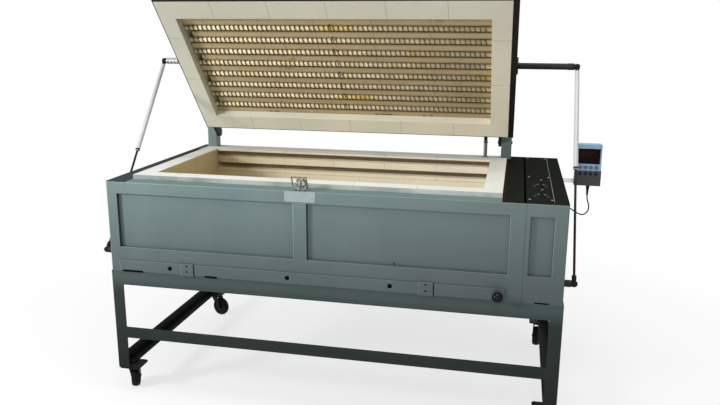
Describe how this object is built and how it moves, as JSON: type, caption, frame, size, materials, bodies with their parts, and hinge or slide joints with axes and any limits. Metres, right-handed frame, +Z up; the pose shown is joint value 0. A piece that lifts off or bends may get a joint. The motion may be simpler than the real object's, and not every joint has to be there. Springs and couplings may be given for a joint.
{
  "type": "glass fusing kiln",
  "caption": "Large top-opening electric fusing kiln: brick-lined steel body and coil-wound lid on gas struts, on a caster stand, with a side-mounted controller.",
  "frame": {"origin": "centre of the kiln's footprint box, on the floor under the wheels", "axes": "+X along the kiln to its control side, +Y towards the lid hinge, +Z up"},
  "size_m": [2.1274, 1.127, 1.8644],
  "materials": {
    "body_paint": "satin",
    "dark_paint": "satin",
    "stand_paint": "satin",
    "firebrick": "matte",
    "fibre": "matte",
    "element_wire": "matte",
    "nickel": "polished",
    "galvanised": "satin",
    "black_plastic": "gloss",
    "matte_black": "matte",
    "grey_plastic": "satin",
    "light_plastic": "satin",
    "rubber_black": "matte",
    "sheath": "satin",
    "silver_paint": "satin"
  },
  "bodies": {
    "kiln": {"casing_frames": "body_paint", "casing_panels": "body_paint", "top_plates": "dark_paint", "wall_bricks": "firebrick", "floor_bricks": "firebrick", "wall_insulation": "fibre", "wall_elements": "element_wire", "thermocouple": "sheath", "control_shell": "body_paint", "selector_switches": "matte_black", "switch_gear": "light_plastic", "entry_glands": "matte_black", "controller_cradle": "matte_black", "controller_case": "grey_plastic", "controller_plug": "matte_black", "controller_cord": "rubber_black", "latch_base": "nickel", "slide_straps": "body_paint", "stand_top_frame": "stand_paint", "stand_legs": "stand_paint", "stand_low_rails": "stand_paint", "caster_plates": "galvanised", "strut_brackets": "dark_paint", "hinge_posts": "body_paint", "lid_conduit": "galvanised"},
    "lid": {"lid_casing": "body_paint", "lid_rim_bricks": "firebrick", "lid_slab": "firebrick", "lid_elements": "element_wire", "lid_tubes": "firebrick", "lid_brackets": "dark_paint", "lid_handle": "black_plastic", "lid_wire_cover": "dark_paint", "latch_keeper": "nickel"},
    "vent_slide": {"slide_bar": "body_paint", "slide_knob": "black_plastic"},
    "latch_arm": {"latch_lever": "nickel"},
    "latch_loop": {"latch_bail": "nickel"},
    "front_selector": {"selector_knob_front": "black_plastic"},
    "rear_selector": {"selector_knob_rear": "black_plastic"},
    "left_strut_rod": {"strut_rod_left": "dark_paint"},
    "left_strut_cylinder": {"strut_cylinder_left": "silver_paint"},
    "right_strut_rod": {"strut_rod_right": "dark_paint"},
    "right_strut_cylinder": {"strut_cylinder_right": "silver_paint"},
    "front_left_fork": {"caster_fork_front_left": "galvanised"},
    "front_left_wheel": {"caster_wheel_front_left": "rubber_black"},
    "front_right_fork": {"caster_fork_front_right": "galvanised"},
    "front_right_wheel": {"caster_wheel_front_right": "rubber_black"},
    "rear_left_fork": {"caster_fork_rear_left": "galvanised"},
    "rear_left_wheel": {"caster_wheel_rear_left": "rubber_black"},
    "rear_right_fork": {"caster_fork_rear_right": "galvanised"},
    "rear_right_wheel": {"caster_wheel_rear_right": "rubber_black"},
    "key_1": {"button_1": "grey_plastic"},
    "key_2": {"button_2": "grey_plastic"},
    "key_3": {"button_3": "grey_plastic"},
    "key_4": {"button_4": "grey_plastic"},
    "key_5": {"button_5": "grey_plastic"},
    "key_6": {"button_6": "grey_plastic"},
    "key_7": {"button_7": "grey_plastic"},
    "key_8": {"button_8": "grey_plastic"}
  },
  "joints": [
    {"name": "lid_hinge", "type": "hinge", "parent": "kiln", "child": "lid", "pos_m": [-0.1327, 0.4765, 1.074], "axis": [1, 0, 0], "range_deg": [0, 49.7]},
    {"name": "vent_slide", "type": "slide", "parent": "kiln", "child": "vent_slide", "axis": [1, 0, 0], "range_m": [0, 0.064]},
    {"name": "latch_lever", "type": "hinge", "parent": "kiln", "child": "latch_arm", "pos_m": [-0.1417, -0.50218, 1.012], "axis": [1, 0, 0], "range_deg": [0, 80]},
    {"name": "latch_bail", "type": "hinge", "parent": "latch_arm", "child": "latch_loop", "pos_m": [-0.1417, -0.51346, 1.0079], "axis": [1, 0, 0], "range_deg": [-102, 20]},
    {"name": "front_selector", "type": "hinge", "parent": "kiln", "child": "front_selector", "pos_m": [0.8043, -0.3915, 0.993], "axis": [0, 0, 1], "range_deg": [-90, 0]},
    {"name": "rear_selector", "type": "hinge", "parent": "kiln", "child": "rear_selector", "pos_m": [0.8043, -0.2015, 0.993], "axis": [0, 0, 1], "range_deg": [-90, 0]},
    {"name": "left_strut_swing", "type": "hinge", "parent": "kiln", "child": "left_strut_rod", "pos_m": [-1.0507, -0.4705, 0.674], "axis": [1, 0, 0], "range_deg": [-8, 0]},
    {"name": "left_strut_stroke", "type": "slide", "parent": "left_strut_rod", "child": "left_strut_cylinder", "axis": [0, -0.6245, -0.781], "range_m": [0, 0.40921]},
    {"name": "right_strut_swing", "type": "hinge", "parent": "kiln", "child": "right_strut_rod", "pos_m": [0.9433, -0.4705, 0.674], "axis": [1, 0, 0], "range_deg": [-8, 0]},
    {"name": "right_strut_stroke", "type": "slide", "parent": "right_strut_rod", "child": "right_strut_cylinder", "axis": [0, -0.6245, -0.781], "range_m": [0, 0.40921]},
    {"name": "front_left_swivel", "type": "hinge", "parent": "kiln", "child": "front_left_fork", "pos_m": [-0.9702, -0.456, 0.117], "axis": [0, 0, 1], "continuous": true},
    {"name": "front_left_roll", "type": "hinge", "parent": "front_left_fork", "child": "front_left_wheel", "pos_m": [-0.98294, -0.42448, 0.05], "axis": [-0.9272, -0.3746, 0], "continuous": true},
    {"name": "front_right_swivel", "type": "hinge", "parent": "kiln", "child": "front_right_fork", "pos_m": [0.8628, -0.456, 0.117], "axis": [0, 0, 1], "continuous": true},
    {"name": "front_right_roll", "type": "hinge", "parent": "front_right_fork", "child": "front_right_wheel", "pos_m": [0.87443, -0.42405, 0.05], "axis": [-0.9397, 0.342, 0], "continuous": true},
    {"name": "rear_left_swivel", "type": "hinge", "parent": "kiln", "child": "rear_left_fork", "pos_m": [-0.9702, 0.49, 0.117], "axis": [0, 0, 1], "continuous": true},
    {"name": "rear_left_roll", "type": "hinge", "parent": "rear_left_fork", "child": "rear_left_wheel", "pos_m": [-0.93868, 0.47726, 0.05], "axis": [0.3746, 0.9272, 0], "continuous": true},
    {"name": "rear_right_swivel", "type": "hinge", "parent": "kiln", "child": "rear_right_fork", "pos_m": [0.8628, 0.49, 0.117], "axis": [0, 0, 1], "continuous": true},
    {"name": "rear_right_roll", "type": "hinge", "parent": "rear_right_fork", "child": "rear_right_wheel", "pos_m": [0.8569, 0.45652, 0.05], "axis": [0.9848, -0.1736, 0], "continuous": true},
    {"name": "key_1_press", "type": "slide", "parent": "kiln", "child": "key_1", "axis": [0, 1, 0], "range_m": [0, 0.0015], "stiffness_N_per_m": 900, "springref_m": -0.0006},
    {"name": "key_2_press", "type": "slide", "parent": "kiln", "child": "key_2", "axis": [0, 1, 0], "range_m": [0, 0.0015], "stiffness_N_per_m": 900, "springref_m": -0.0006},
    {"name": "key_3_press", "type": "slide", "parent": "kiln", "child": "key_3", "axis": [0, 1, 0], "range_m": [0, 0.0015], "stiffness_N_per_m": 900, "springref_m": -0.0006},
    {"name": "key_4_press", "type": "slide", "parent": "kiln", "child": "key_4", "axis": [0, 1, 0], "range_m": [0, 0.0015], "stiffness_N_per_m": 900, "springref_m": -0.0006},
    {"name": "key_5_press", "type": "slide", "parent": "kiln", "child": "key_5", "axis": [0, 1, 0], "range_m": [0, 0.0015], "stiffness_N_per_m": 900, "springref_m": -0.0006},
    {"name": "key_6_press", "type": "slide", "parent": "kiln", "child": "key_6", "axis": [0, 1, 0], "range_m": [0, 0.0015], "stiffness_N_per_m": 900, "springref_m": -0.0006},
    {"name": "key_7_press", "type": "slide", "parent": "kiln", "child": "key_7", "axis": [0, 1, 0], "range_m": [0, 0.0015], "stiffness_N_per_m": 900, "springref_m": -0.0006},
    {"name": "key_8_press", "type": "slide", "parent": "kiln", "child": "key_8", "axis": [0, 1, 0], "range_m": [0, 0.0015], "stiffness_N_per_m": 900, "springref_m": -0.0006}
  ],
  "couplings": [
    {"joint": "left_strut_swing", "follows": "lid_hinge", "ratio": -0.15987},
    {"joint": "left_strut_stroke", "follows": "lid_hinge", "m_per_rad": 0.47118},
    {"joint": "right_strut_swing", "follows": "lid_hinge", "ratio": -0.15987},
    {"joint": "right_strut_stroke", "follows": "lid_hinge", "m_per_rad": 0.47118}
  ]
}
